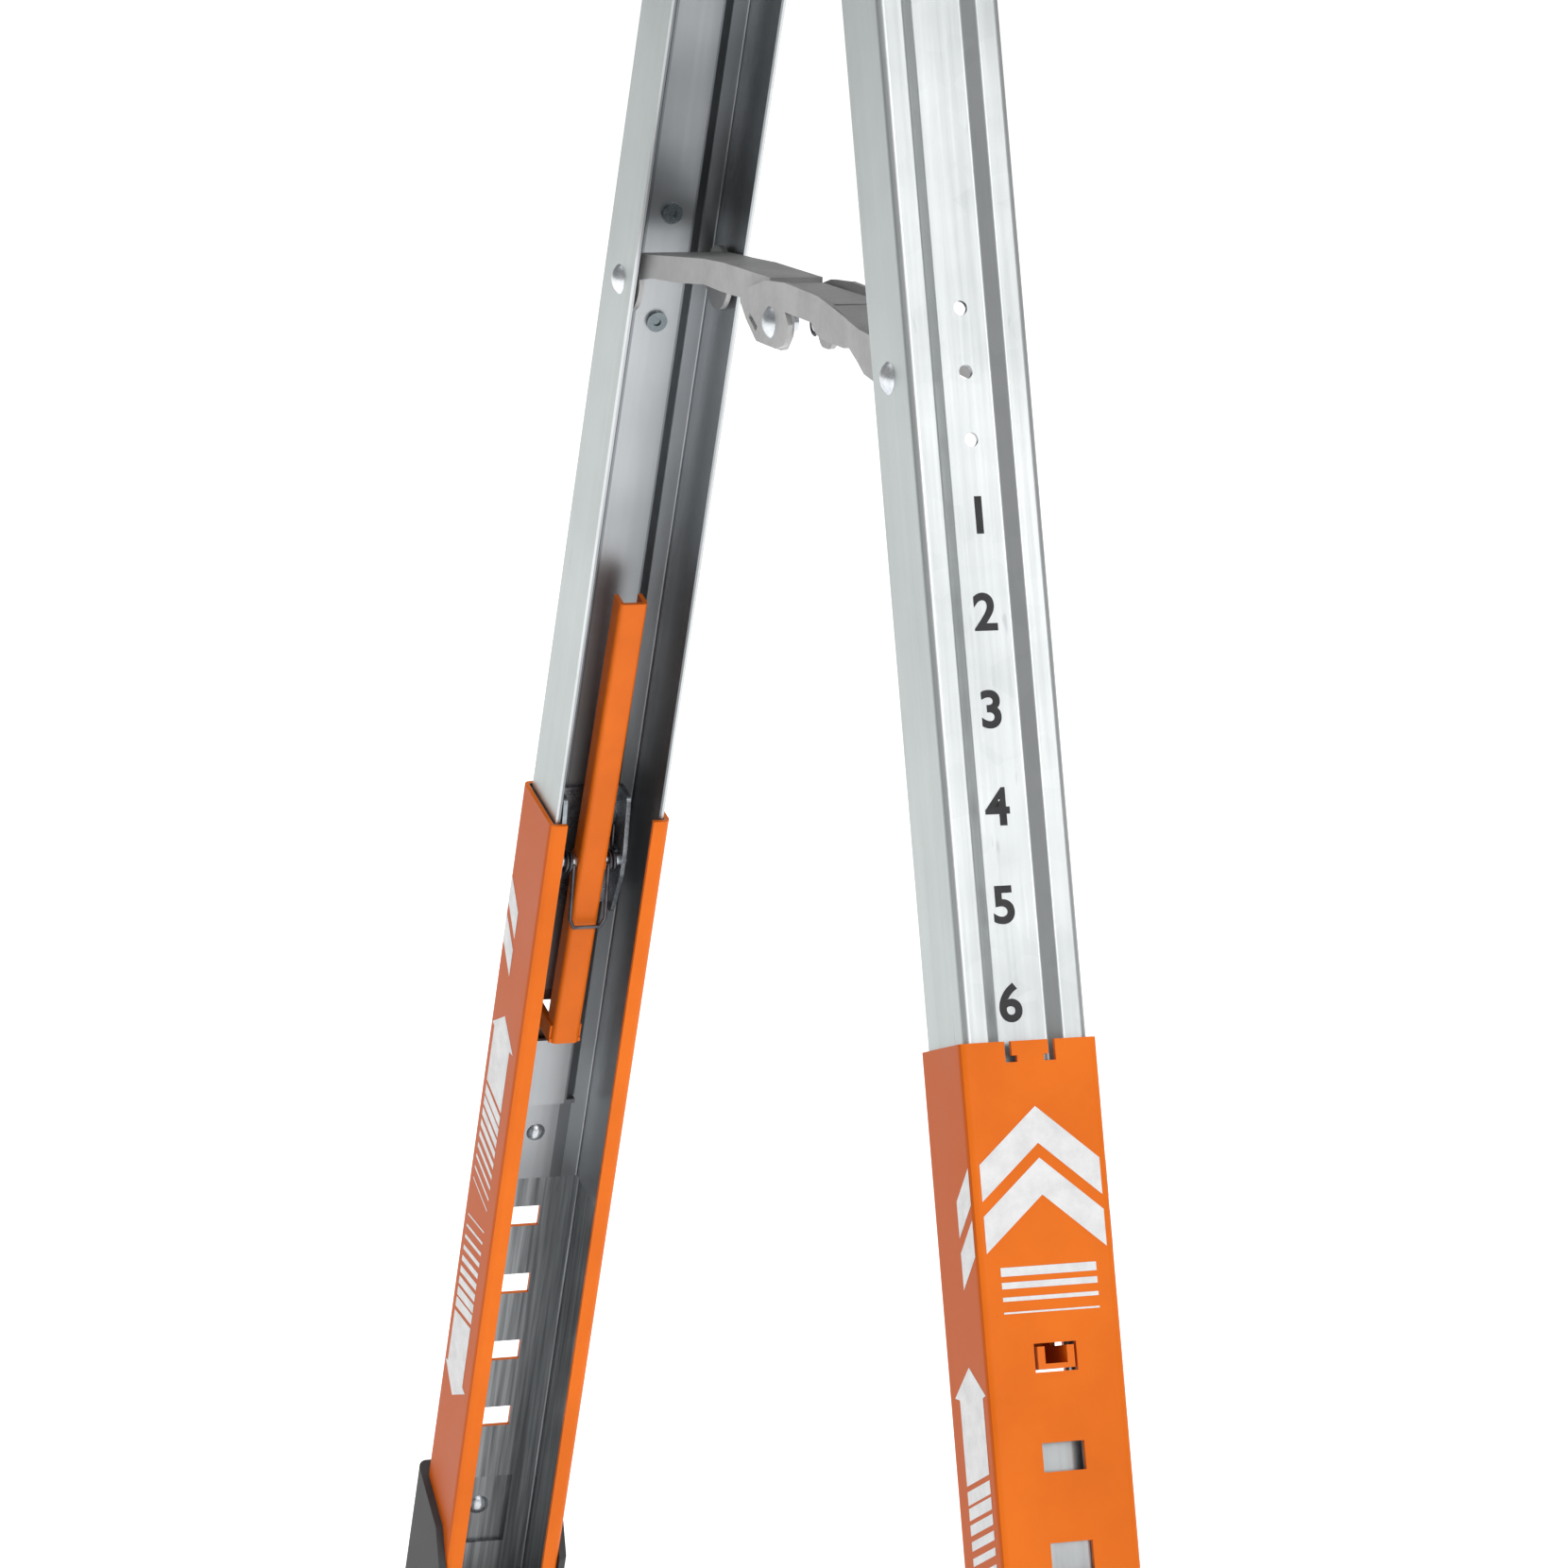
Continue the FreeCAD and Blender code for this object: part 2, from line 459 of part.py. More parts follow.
def knuckle_studs():
    """Rivet shanks in the inner link's walls, in line with the fork's rivet heads."""
    stud = rod_x(STUD_IN, INNER_LANE[1], -BRACE_L, 0, 3.0)
    return [stud, mirrored_x(stud)]


def brace_spring():
    """Torsion spring on one stud; its short ends are left off."""
    return coil_x(STUD_IN + 0.2, INNER_LANE[0] - 0.8, -BRACE_L, 0, 3.8, 0.6, 2)


# ---------------------------------------------------------------- yoke
def yoke(end):
    """Hanger that turns on the beam's fold pins and carries the two leg bolts (pair frame)."""
    back = -AXIS_SETBACK[end]
    top, pivot = AXIS_LOCAL_Z, PIVOT_Z
    outer = YOKE_IN + YOKE_T
    low = pivot - 12.0
    panel = [(-CHEEK_OUT, top - 14), (-CHEEK_OUT, pivot + 22, 3), (-27, low, 9), (27, low, 9),
             (CHEEK_OUT, pivot + 22, 3), (CHEEK_OUT, top - 14)]
    plates = [sideways(panel, YOKE_IN, outer), sideways(panel, -outer, -YOKE_IN)]
    side = [(back - 14, top + 14, 13.5), (back + 14, top + 14, 13.5), (outer, top - 14),
            (outer, pivot + 22), (-outer, pivot + 22), (back - 16, top - 22, 10)]
    if end == "front":
        side = [(-14, top + 14, 13), (14, top + 14, 13), (outer, top - 14), (outer, pivot + 22),
                (-outer, pivot + 22), (-outer, top - 14)]
    cheek = face(side).extrude(V(0, 0, CHEEK_T))
    cheek.rotate(V(0, 0, 0), X_AXIS, 90)                # outline's y becomes z, depth -y
    cheek.translate(V(0, CHEEK_OUT, 0))
    web = box(-outer, outer, -CHEEK_OUT, CHEEK_OUT, pivot + 34, pivot + 36)
    body = joined(cheek, cheek.mirror(V(0, 0, 0), Y_AXIS), web, *plates)
    holes = [rod_y(back, -60, 60, top, FOLD_PIN_R + RUN)]
    holes += [rod_x(-60, 60, y, pivot, LEG_BOLT_R) for y in (PIVOT_Y, -PIVOT_Y)]
    bore = lock_bore(end, 3.3)                          # locked open, and locked folded
    holes += [bore, bore.rotated(V(back, 0, top), Y_AXIS, -FOLD)]
    return body.cut(holes)


def lock_place(end):
    """Lock pin's place in the pair frame, beside the fold axis."""
    return -AXIS_SETBACK[end] + LOCK_X, AXIS_LOCAL_Z + LOCK_Z


def lock_bore(end, radius):
    x, z = lock_place(end)
    return rod_y(x, 20, 60, z, radius)


def leg_bolts():
    outer = YOKE_IN + YOKE_T
    solids = []
    for y in (PIVOT_Y, -PIVOT_Y):
        shank = rod_x(-outer, outer + 3.9, y, PIVOT_Z, LEG_BOLT_R)
        head = dome(V(-outer, y, PIVOT_Z), -X_AXIS, 7.5, 3.6)
        nut = hexagon(13.0, 3.4, V(outer, y, PIVOT_Z), X_AXIS)
        solids += [shank.fuse(head), nut.cut(rod_x(outer - 1, outer + 5, y, PIVOT_Z, LEG_BOLT_R))]
    return solids


# ---------------------------------------------------------------- lock plunger
def lock_plunger(end):
    """Spring pin with a knob; its tip stands just outside the yoke's cheek."""
    x, z = lock_place(end)
    pin = rod_y(x, CHEEK_OUT + 0.3, BEAM_W / 2 + 12, z, 3.0)
    knob = rod_y(x, BEAM_W / 2 + 9.5, BEAM_W / 2 + 20, z, 8.5)
    knob = knob.makeFillet(1.5, [e for e in knob.Edges if e.Length > 20])
    flutes = [rod_y(x + 9.6 * cos(a), BEAM_W / 2 + 9, BEAM_W / 2 + 21, z + 9.6 * sin(a), 1.9)
              for a in (radians(45 * k) for k in range(8))]
    return joined(pin, knob.cut(flutes))


def lock_barrel(end):
    x, z = lock_place(end)
    barrel = rod_y(x, BEAM_W / 2, BEAM_W / 2 + 9, z, 5.5).fuse(rod_y(x, BEAM_W / 2, BEAM_W / 2 + 2, z, 7.5))
    return barrel.cut(rod_y(x, 30, 80, z, 3.0 + RUN))


# ---------------------------------------------------------------- beam
def in_world(shape, end):
    """Bring a pair-frame shape to the world frame, baked into its geometry."""
    shape = shape.copy()
    shape.Placement = end_placement(end).multiply(shape.Placement)
    return shape



def beam():
    half, top, low = BEAM_W / 2, HEIGHT, BEAM_BOTTOM
    shell = sideways([(half, low), (half, top, BEAM_R), (-half, top, BEAM_R), (-half, low),
                      (-half + BEAM_T, low), (-half + BEAM_T, top - BEAM_T, BEAM_R - BEAM_T),
                      (half - BEAM_T, top - BEAM_T, BEAM_R - BEAM_T), (half - BEAM_T, low)],
                     -BEAM_L / 2, BEAM_L / 2)
    adds, cuts = [], []
    z0, z1 = GROOVE_Z - GROOVE_HALF, GROOVE_Z + GROOVE_HALF
    for side in (1, -1):                                # pressed stiffening groove in each wall
        def wall(points, reach):
            return sideways([(side * y, z) for y, z in points], -reach, reach)
        face_in = half - BEAM_T
        bump = wall([(face_in + 0.5, z0 - 1), (face_in - GROOVE_IN, z0 + GROOVE_IN),
                     (face_in - GROOVE_IN, z1 - GROOVE_IN), (face_in + 0.5, z1 + 1)], GROOVE_L / 2)
        dent = wall([(half + 1, z0), (half, z0), (half - GROOVE_IN, z0 + GROOVE_IN),
                     (half - GROOVE_IN, z1 - GROOVE_IN), (half, z1), (half + 1, z1)], GROOVE_L / 2 - 2)
        adds.append(bump)
        cuts.append(dent)
    for x in TOP_HOLES_X:
        cuts += [Part.makeCylinder(TOP_HOLE_R, 10, V(x, y, top - 6)) for y in (TOP_HOLE_Y, -TOP_HOLE_Y)]
    for end, x in FOLD_X.items():
        cuts.append(rod_y(x, -60, 60, AXIS_Z, FOLD_PIN_R))
        cuts.append(in_world(lock_bore(end, 3.0 + RUN), end))
    return joined(shell, *adds).cut(cuts)



def end_cap(sign):
    """Moulded cap over the beam's end, with a tongue into the channel."""
    x0 = BEAM_L / 2
    half, top, low = BEAM_W / 2, HEIGHT, BEAM_BOTTOM
    plate = sideways([(half, low, 3), (half, top, BEAM_R), (-half, top, BEAM_R), (-half, low, 3)], x0, x0 + 3)
    wide, high = half - BEAM_T, top - BEAM_T
    tongue = sideways([(wide, top - 24), (wide, high, 2), (-wide, high, 2), (-wide, top - 24)], x0 - 9, x0)
    hollow = sideways([(wide - 2.5, top - 30), (wide - 2.5, high - 2.5), (-wide + 2.5, high - 2.5),
                       (-wide + 2.5, top - 30)], x0 - 10, x0 - 0.5)
    cap = joined(plate, tongue.cut(hollow))
    return cap if sign > 0 else cap.rotated(V(0, 0, 0), Z_AXIS, 180)


def fold_pins():
    """Four bolts through the beam's walls and the yokes' cheeks."""
    pins, half = [], BEAM_W / 2
    for x in FOLD_X.values():
        for side in (1, -1):
            y0, y1 = CHEEK_OUT - CHEEK_T - 3, half
            shank = rod_y(x, min(side * y0, side * y1), max(side * y0, side * y1), AXIS_Z, FOLD_PIN_R)
            head = dome(V(x, side * half, AXIS_Z), Y_AXIS * side, 8.5, 4.0)
            pins.append(shank.fuse(head))
    return pins


def fold_washers():
    washers = []
    for x in FOLD_X.values():
        for side in (1, -1):
            y0, y1 = sorted((side * (CHEEK_OUT + 0.3), side * (BEAM_W / 2 - BEAM_T)))
            ring = rod_y(x, y0, y1, AXIS_Z, 9.0).cut(rod_y(x, y0 - 1, y1 + 1, AXIS_Z, FOLD_PIN_R))
            washers.append(ring)
    return washers


# ---------------------------------------------------------------- build
WORLD = FreeCAD.Placement()
export("beam_rail", [beam()], WORLD)
export("end_cap_front", [end_cap(1)], WORLD)
export("end_cap_rear", [end_cap(-1)], WORLD)
export("fold_pins", fold_pins(), WORLD)
export("fold_washers", fold_washers(), WORLD)
export("lock_barrels", [in_world(lock_barrel(end), end) for end in ("front", "rear")], WORLD)

channel, tube, shoe, shoe_rivet = leg_channel(), sleeve(), boot(), foot_rivet()
bracket, pin, lever, spring = latch_bracket(), latch_pin(), latch_lever(), latch_spring()
coil_spring = brace_spring()
links = {"outer": (outer_link(), outer_link_heads()), "inner": (inner_link(), knuckle_studs())}

for end in ("front", "rear"):
    pair = end_placement(end)
    export("%s_yoke" % end, [yoke(end)], pair)
    export("%s_leg_bolts" % end, leg_bolts(), pair)
    export("%s_lock_plunger" % end, [lock_plunger(end)], pair)
    for kind in ("outer", "inner"):
        side = "right" if (end == "front") == (kind == "outer") else "left"
        name = "%s_%s" % (end, side)
        leg = pair.multiply(side_placement(kind)).multiply(LEG_PLACEMENT)
        export(name + "_leg", [channel], leg)
        export(name + "_leg_rivets", leg_rivets(kind), leg)
        export(name + "_latch_bracket", [bracket], leg)
        export(name + "_latch_pin", [pin], leg)
        export(name + "_latch_lever", [lever], leg)
        export(name + "_latch_spring", [spring], leg)
        export(name + "_sleeve", [tube], leg)
        export(name + "_foot", [trim_to_floor(shoe, leg)], leg)
        export(name + "_foot_rivet", [shoe_rivet], leg)
        link = pair.multiply(side_placement(kind)).multiply(LINK_PLACEMENT)
        body, extras = links[kind]
        export("%s_brace_%s_link" % (end, kind), [body], link)
        if kind == "outer":
            export("%s_brace_rivet_heads" % end, extras, link)
        else:
            export("%s_brace_knuckle_studs" % end, extras, link)
            export("%s_brace_spring" % end, [coil_spring], link)
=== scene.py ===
"""Looks for the folding sawhorse: camera, studio, materials, printed graphics."""
import json
from math import radians, sin, cos, pi

import bpy
import bmesh
from mathutils import Matrix, Vector


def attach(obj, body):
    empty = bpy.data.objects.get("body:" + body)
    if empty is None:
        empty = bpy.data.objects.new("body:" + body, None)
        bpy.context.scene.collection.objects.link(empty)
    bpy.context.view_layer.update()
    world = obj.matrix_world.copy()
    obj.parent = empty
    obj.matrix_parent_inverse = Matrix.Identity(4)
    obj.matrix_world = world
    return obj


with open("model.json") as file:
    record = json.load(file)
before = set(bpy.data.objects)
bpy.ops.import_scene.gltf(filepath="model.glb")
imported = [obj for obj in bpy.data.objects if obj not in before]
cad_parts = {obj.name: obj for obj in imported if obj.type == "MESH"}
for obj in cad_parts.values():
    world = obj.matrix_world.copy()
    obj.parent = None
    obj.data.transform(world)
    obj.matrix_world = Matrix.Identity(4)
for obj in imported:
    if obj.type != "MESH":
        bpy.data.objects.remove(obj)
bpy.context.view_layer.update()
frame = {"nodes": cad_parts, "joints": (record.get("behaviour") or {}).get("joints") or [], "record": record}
NODES = frame["nodes"]
JOINTS = {j["name"]: j for j in frame["joints"]}
LEGS = ("front_right", "front_left", "rear_right", "rear_left")
OUTER_SIDE = {"front_right", "rear_left"}        # legs that carry the brace's fork

MM = 0.001
# leg-frame sizes: X along the beam, Y out of the web, Z up the leg; s is down from the brace
LATCH_PIN = Vector((0, -13.2, -206.8)) * MM
STEP = 26.8 * MM                                 # pitch of the slots and the numbers

LEG_HOLLOW = 17.4 * MM                           # half width of the channel's inside
RIB_FLOOR_Y = -3.0 * MM
GROOVE_FROM, GROOVE_TO = 7.1 * MM, 11.1 * MM     # slanted walls of the leg's pressed rib
SLEEVE_SHADE_FROM, SLEEVE_SHADE_TO = -240 * MM, -262 * MM        # painted shade on the leg where it runs inside the sleeve, from none to full strength
TAIL_Y, TAIL_HALF = RIB_FLOOR_Y - 1.55 * MM, 8 * MM   # blind rivets' tails, inside the rib

SLEEVE_WEB_Y, SLEEVE_HALF = 1.85 * MM, 20.2 * MM
BARE_HALF, BARE_BACK, BARE_FRONT = 18.78 * MM, 0.42 * MM, -26.6 * MM
POCKET_HALF_X, POCKET_HALF_Z, POCKET_OUT = 10.6 * MM, 14.0 * MM, 2.6 * MM
POCKET_DOWN = 470 * MM
COAT_FLANK = 19.0 * MM
FACES_SIDEWAYS, FACES_OUT = 0.8, 0.4             # least share of the normal along the leg's X, its Y

DIGIT_TOP_S, DIGIT_X, DIGIT_DRIFT, DIGIT_SIZE = 41.0 * MM, -0.3 * MM, 0.58 * MM, 9.9 * MM
DIGIT_BOLD = 0.00038
CAP_HEIGHT = 0.70                                # of the font, as a share of its size
DIGITS = range(1, 7)
PRINT_LIFT = 0.06 * MM

# printed shapes in mm, in (x, s) on the web and (h, s) on a flange
CHEVRON_TOPS = (203.0, 217.0)
CHEVRON_HALF, CHEVRON_DROP, CHEVRON_THICK = 17.6, 15, 10
WEB_BARS, WEB_BAR_HALF = (246.0, 4, 4.0, 2.4, 0.5), 14
ARROW_TOP_OUTER, ARROW_TOP_INNER, ARROW_HALF_LENGTH = 271.8, 265.2, 74.0
ARROW_BARS_DOWN, ARROW_BARS = 33.5, (9, 4.5, 3.7, 0.6)

FLOOR_HALF, FLOOR_DROP, FLOOR_GLOW = 60.0, -0.0005, 0.68
WORLD_STRENGTH = 0.27
LIGHTS = (("key", (0.1, 3.2, 1.7), (0.5, 0, 0.45), 2.2, 34),      # name, place, target, side, watts
          ("top", (0.3, -0.6, 4.2), (0.3, -1.0, 0), 7.0, 150))

# ------------------------------------------------------------------ camera
CAMERA_TARGET = Vector((0.5328, 0.0244, 0.3709))
CAMERA_AZIMUTH, CAMERA_ELEVATION, CAMERA_DISTANCE, CAMERA_LENS = 69.17, 11.90, 1.9365, 152.8
SENSOR_WIDTH = 36.0
CLIP_NEAR, CLIP_FAR = 0.05, 200.0


def put_in_scene(name, data):
    thing = bpy.data.objects.new(name, data)
    bpy.context.scene.collection.objects.link(thing)
    return thing


def add_camera():
    az, el = radians(CAMERA_AZIMUTH), radians(CAMERA_ELEVATION)
    back = Vector((cos(el) * cos(az), cos(el) * sin(az), sin(el)))
    data = bpy.data.cameras.new("camera")
    data.lens, data.sensor_width = CAMERA_LENS, SENSOR_WIDTH
    data.clip_start, data.clip_end = CLIP_NEAR, CLIP_FAR
    camera = put_in_scene("camera", data)
    camera.location = CAMERA_TARGET + back * CAMERA_DISTANCE
    camera.rotation_euler = back.to_track_quat("Z", "Y").to_euler()
    bpy.context.scene.camera = camera


# ------------------------------------------------------------------ frames
def leg_matrix(leg):
    """The leg's own frame in the world, from its sleeve's slide and its latch's hinge."""
    up = Vector(JOINTS[leg + "_extend"]["axis"]).normalized()
    x = -Vector(JOINTS[leg + "_latch"]["axis"]).normalized()
    y = up.cross(x).normalized()
    turn = Matrix((x, y, up)).transposed()
    origin = Vector(JOINTS[leg + "_latch"]["pos_m"]) - turn @ LATCH_PIN
    return Matrix.Translation(origin) @ turn.to_4x4()


LEG_FRAME = {leg: leg_matrix(leg) for leg in LEGS}


# ------------------------------------------------------------------ node helpers
def rgb(r, g, b):
    return (r, g, b, 1.0)


class Shader:
    """A small writer for one node tree round one Principled BSDF."""

    def __init__(self, name, matrix=None, **sockets):
        self.material = bpy.data.materials.new(name)
        self.material.use_nodes = True
        self.tree = self.material.node_tree
        self.bsdf = self.tree.nodes["Principled BSDF"]
        for socket, value in sockets.items():
            self.bsdf.inputs[socket.replace("_", " ")].default_value = value
        self.coords = self.node("TexCoord").outputs["Object"]
        if matrix is not None:                   # world position brought to the leg's frame
            inverse = matrix.inverted()
            self.coords = self.mapped(Location=inverse.to_translation(), Rotation=inverse.to_euler("XYZ"))

    def node(self, kind):
        return self.tree.nodes.new("ShaderNode" + kind)

    def link(self, value, socket):
        if isinstance(value, bpy.types.NodeSocket):
            self.tree.links.new(value, socket)
        else:
            socket.default_value = value

    def mapped(self, **sockets):
        node = self.node("Mapping")
        node.vector_type = "POINT"
        for name, value in sockets.items():
            node.inputs[name].default_value = value
        self.tree.links.new(self.coords, node.inputs["Vector"])
        return node.outputs["Vector"]

    def noise(self, scale, detail=3.0, rough=0.5, stretch=None):
        node = self.node("TexNoise")
        node.inputs["Scale"].default_value = scale
        node.inputs["Detail"].default_value = detail
        node.inputs["Roughness"].default_value = rough
        vector = self.mapped(Scale=stretch) if stretch else self.coords
        self.tree.links.new(vector, node.inputs["Vector"])
        return node.outputs["Fac"]

    def cells(self, scale):
        node = self.node("TexVoronoi")
        node.inputs["Scale"].default_value = scale
        self.tree.links.new(self.coords, node.inputs["Vector"])
        return node.outputs["Color"]

    def ramp(self, factor, low, high, a=0.0, b=1.0):
        node = self.node("MapRange")
        for name, value in (("From Min", low), ("From Max", high), ("To Min", a), ("To Max", b)):
            node.inputs[name].default_value = value
        self.tree.links.new(factor, node.inputs["Value"])
        return node.outputs["Result"]

    def mix(self, factor, a, b):
        node = self.node("Mix")
        node.data_type = "RGBA"
        self.link(factor, node.inputs[0])
        self.link(a, node.inputs[6])
        self.link(b, node.inputs[7])
        return node.outputs[2]

    def math(self, operation, a, b=0.0):
        node = self.node("Math")
        node.operation = operation
        self.link(a, node.inputs[0])
        self.link(b, node.inputs[1])
        return node.outputs[0]

    def add(self, a, b):
        return self.math("ADD", a, b)

    def product(self, a, b):
        return self.math("MULTIPLY", a, b)

    def below(self, a, b):
        return self.math("LESS_THAN", a, b)

    def above(self, a, b):
        return self.math("GREATER_THAN", a, b)

    def size_of(self, a):
        return self.math("ABSOLUTE", a)

    def axis(self, letter):
        node = self.node("SeparateXYZ")
        self.tree.links.new(self.coords, node.inputs[0])
        return node.outputs[letter]

    def facing(self, direction):
        """How far the surface faces a fixed direction, 1 to -1."""
        node = self.node("VectorMath")
        node.operation = "DOT_PRODUCT"
        self.tree.links.new(self.node("TexCoord").outputs["Normal"], node.inputs[0])
        node.inputs[1].default_value = direction
        return node.outputs["Value"]

    def flank(self, matrix, from_x):
        """1 on the outer faces of the leg's two flanges, which are darkened with painted shade."""
        side = self.size_of(self.facing(matrix.to_3x3() @ Vector((1, 0, 0))))
        outer = self.above(self.size_of(self.axis("X")), from_x)
        return self.product(self.above(side, FACES_SIDEWAYS), outer)

    def bump(self, height, strength, distance):
        node = self.node("Bump")
        node.inputs["Strength"].default_value = strength
        node.inputs["Distance"].default_value = distance
        self.tree.links.new(height, node.inputs["Height"])
        self.set("Normal", node.outputs["Normal"])

    def set(self, socket, value):
        self.tree.links.new(value, self.bsdf.inputs[socket])


# ------------------------------------------------------------------ materials
def galvanised(name, matrix, hollow=0.0):
    """Rolled zinc: soft spangle, rolling streaks along the leg, small scuffs.

    Inside the channel, whose half width is given as hollow, the zinc is darkened with painted shade and
    clouded painted reflections.
    """
    s = Shader(name, matrix, Metallic=0.88, IOR=1.45)
    spangle = s.cells(140.0)
    streak = s.noise(5.0, 4.0, 0.6, stretch=(60.0, 60.0, 1.2))
    cloud = s.noise(14.0, 4.0, 0.55)
    scuff = s.noise(210.0, 2.0, 0.7, stretch=(1.0, 1.0, 0.22))
    tone = s.add(s.product(streak, 0.35), s.product(cloud, 0.65))
    colour = s.mix(s.ramp(tone, 0.36, 0.62), rgb(0.53, 0.555, 0.56), rgb(0.66, 0.685, 0.69))
    colour = s.mix(s.product(s.ramp(spangle, 0.2, 0.9), 0.14), colour, rgb(0.80, 0.82, 0.83))
    colour = s.mix(s.ramp(scuff, 0.70, 0.76, 0.0, 0.5), colour, rgb(0.40, 0.42, 0.43))
    if hollow:
        across = s.size_of(s.axis("X"))
        facing_in = s.below(s.facing(matrix.to_3x3() @ Vector((0, 1, 0))), FACES_OUT)
        inside = s.product(facing_in, s.below(across, hollow))
        # painted shade and painted reflections: the zinc inside the channel is darkened, in clouds of near
        # black and mid grey
        painted_reflection_cloud = s.noise(7.0, 3.0, 0.5, stretch=(1.0, 1.0, 0.8))
        painted_interior_shade = s.mix(s.ramp(painted_reflection_cloud, 0.40, 0.62), rgb(0.11, 0.12, 0.13), rgb(0.44, 0.46, 0.48))
        colour = s.mix(s.product(inside, 0.85), colour, painted_interior_shade)
        # painted shade in the grooves of the pressed rib: a little on the outside, much more inside the
        # channel
        groove = s.product(s.above(across, GROOVE_FROM), s.below(across, GROOVE_TO))
        groove_shade = s.add(0.10, s.product(inside, 0.46))
        colour = s.mix(s.product(groove, groove_shade), colour, rgb(0.10, 0.11, 0.12))
        # painted shade: the flanges' outer faces are darkened to a greenish grey
        colour = s.mix(s.product(s.flank(matrix, hollow), 0.8), colour, rgb(0.42, 0.465, 0.455))
        # painted shade: the leg's outer faces darken downwards where the sleeve covers them and they show
        # only through its slots
        sleeve_shade = s.ramp(s.axis("Z"), SLEEVE_SHADE_FROM, SLEEVE_SHADE_TO, 0.0, 0.55)
        outside = s.math("SUBTRACT", 1.0, facing_in)
        colour = s.mix(s.product(sleeve_shade, outside), colour, rgb(0.20, 0.21, 0.22))
    s.set("Base Color", colour)
    s.set("Roughness", s.ramp(tone, 0.3, 0.7, 0.42, 0.27))
    s.bump(s.add(s.product(streak, 0.6), s.product(cloud, 0.8)), 0.12, 0.0006)
    return s.material


def orange_on_zinc(name, matrix):
    """Powder coat outside the sleeve, bare grey zinc inside it and inside its pressed pocket."""
    s = Shader(name, matrix, IOR=1.45, Specular_IOR_Level=0.16)
    across, out, up = s.size_of(s.axis("X")), s.axis("Y"), s.axis("Z")
    before_lips = s.above(out, BARE_FRONT)
    channel = s.product(s.below(across, BARE_HALF), s.below(out, BARE_BACK))
    from_pocket = s.size_of(s.add(up, POCKET_DOWN))
    pocket = s.product(s.below(across, POCKET_HALF_X), s.below(from_pocket, POCKET_HALF_Z))
    pocket = s.product(pocket, s.below(out, POCKET_OUT))
    inside = s.math("MAXIMUM", s.product(channel, before_lips), s.product(pocket, before_lips))
    cloud = s.noise(22.0, 4.0, 0.55)
    grain = s.noise(900.0, 2.0, 0.5)
    chips = s.noise(260.0, 3.0, 0.75)
    paint = s.mix(s.ramp(cloud, 0.35, 0.65), rgb(0.72, 0.145, 0.008), rgb(0.82, 0.172, 0.011))
    paint = s.mix(s.ramp(chips, 0.76, 0.80, 0.0, 0.55), paint, rgb(0.40, 0.075, 0.006))
    # painted shade: the coat on the sleeve's flange faces is darkened to a deep orange
    paint = s.mix(s.product(s.flank(matrix, COAT_FLANK), 0.8), paint, rgb(0.50, 0.082, 0.003))
    streak = s.noise(9.0, 4.0, 0.6, stretch=(60.0, 60.0, 1.6))
    bare = s.mix(s.ramp(streak, 0.35, 0.65), rgb(0.15, 0.16, 0.17), rgb(0.36, 0.38, 0.39))
    s.set("Base Color", s.mix(inside, paint, bare))
    s.set("Metallic", s.product(inside, 0.85))
    s.set("Roughness", s.ramp(cloud, 0.3, 0.7, 0.36, 0.46))
    s.bump(s.add(s.product(grain, 0.5), cloud), 0.10, 0.0003)
    return s.material


def orange_paint(name):
    s = Shader(name, IOR=1.45, Specular_IOR_Level=0.22)
    cloud, grain = s.noise(26.0, 4.0, 0.55), s.noise(900.0, 2.0, 0.5)
    s.set("Base Color", s.mix(s.ramp(cloud, 0.35, 0.65), rgb(0.71, 0.140, 0.008), rgb(0.84, 0.176, 0.011)))
    s.set("Roughness", s.ramp(cloud, 0.3, 0.7, 0.34, 0.46))
    s.bump(grain, 0.10, 0.0003)
    return s.material


def satin_metal(name, light, dark, metallic, rough, scale, bump=0.08):
    s = Shader(name, Metallic=metallic)
    cloud, fine = s.noise(scale, 4.0, 0.6), s.noise(scale * 9, 2.0, 0.5)
    s.set("Base Color", s.mix(s.ramp(cloud, 0.35, 0.65), rgb(*dark), rgb(*light)))
    s.set("Roughness", s.ramp(fine, 0.3, 0.7, *rough))
    s.bump(fine, bump, 0.0002)
    return s.material


def rivet_zinc(name, matrix):
    """Bright heads, and tails inside the channel darkened with painted shade."""
    s = Shader(name, matrix, Metallic=0.9)
    cloud, fine = s.noise(140.0, 4.0, 0.6), s.noise(1200.0, 2.0, 0.5)
    bright = s.mix(s.ramp(cloud, 0.35, 0.65), rgb(0.52, 0.56, 0.60), rgb(0.78, 0.80, 0.82))
    tail = s.product(s.below(s.axis("Y"), TAIL_Y), s.below(s.size_of(s.axis("X")), TAIL_HALF))
    # painted shade: rivet tails inside the channel's rib are darkened to near black
    s.set("Base Color", s.mix(s.product(tail, 0.85), bright, rgb(0.10, 0.13, 0.14)))
    s.set("Roughness", s.ramp(fine, 0.3, 0.7, 0.22, 0.34))
    s.bump(fine, 0.06, 0.0002)
    return s.material


def moulded(name, light, dark, rough, grain_scale, bump):
    """Black rubber or plastic with a fine moulded grain and a little dust."""
    s = Shader(name, IOR=1.48)
    dust, grain = s.noise(18.0, 5.0, 0.65), s.noise(grain_scale, 2.0, 0.5)
    s.set("Base Color", s.mix(s.ramp(dust, 0.40, 0.72), rgb(*dark), rgb(*light)))
    s.set("Roughness", s.ramp(dust, 0.3, 0.7, *rough))
    s.bump(grain, bump, 0.0002)
    return s.material


